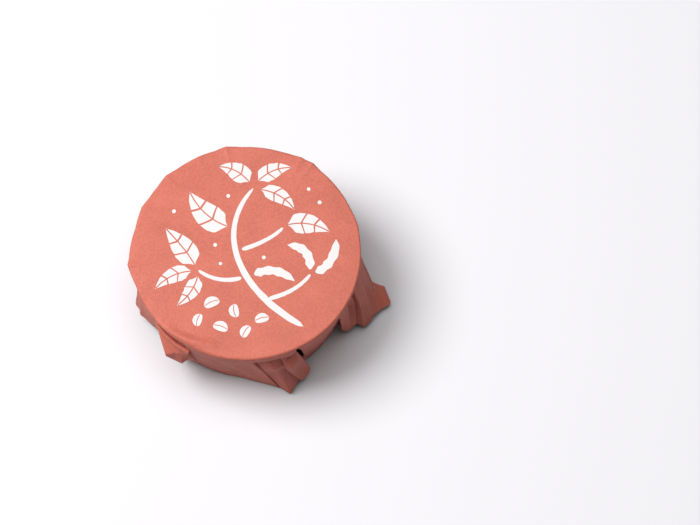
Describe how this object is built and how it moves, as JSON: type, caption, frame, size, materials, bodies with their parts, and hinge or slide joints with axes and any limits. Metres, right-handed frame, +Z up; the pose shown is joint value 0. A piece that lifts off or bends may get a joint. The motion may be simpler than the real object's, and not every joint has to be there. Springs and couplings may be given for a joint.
{
  "type": "paper-covered tub of sweet bean paste",
  "caption": "Shut round tub of sweet bean paste under a red-brown paper cover, drawn down over the lid and wall and gathered into pleats whose loose ends stand out as flaps.",
  "frame": {"origin": "on the floor, at the middle of the tub's foot", "axes": "+Z up, +X to the right and -Y towards the front"},
  "size_m": [0.1191, 0.1068, 0.045],
  "materials": {
    "tub_plastic": "dark satin food tub",
    "cover_paper": "matt fibrous red-brown paper with a white print",
    "white_print": "matt white print on the paper"
  },
  "bodies": {
    "root": {"tub": "tub_plastic", "paper_cover": "cover_paper"}
  },
  "joints": []
}
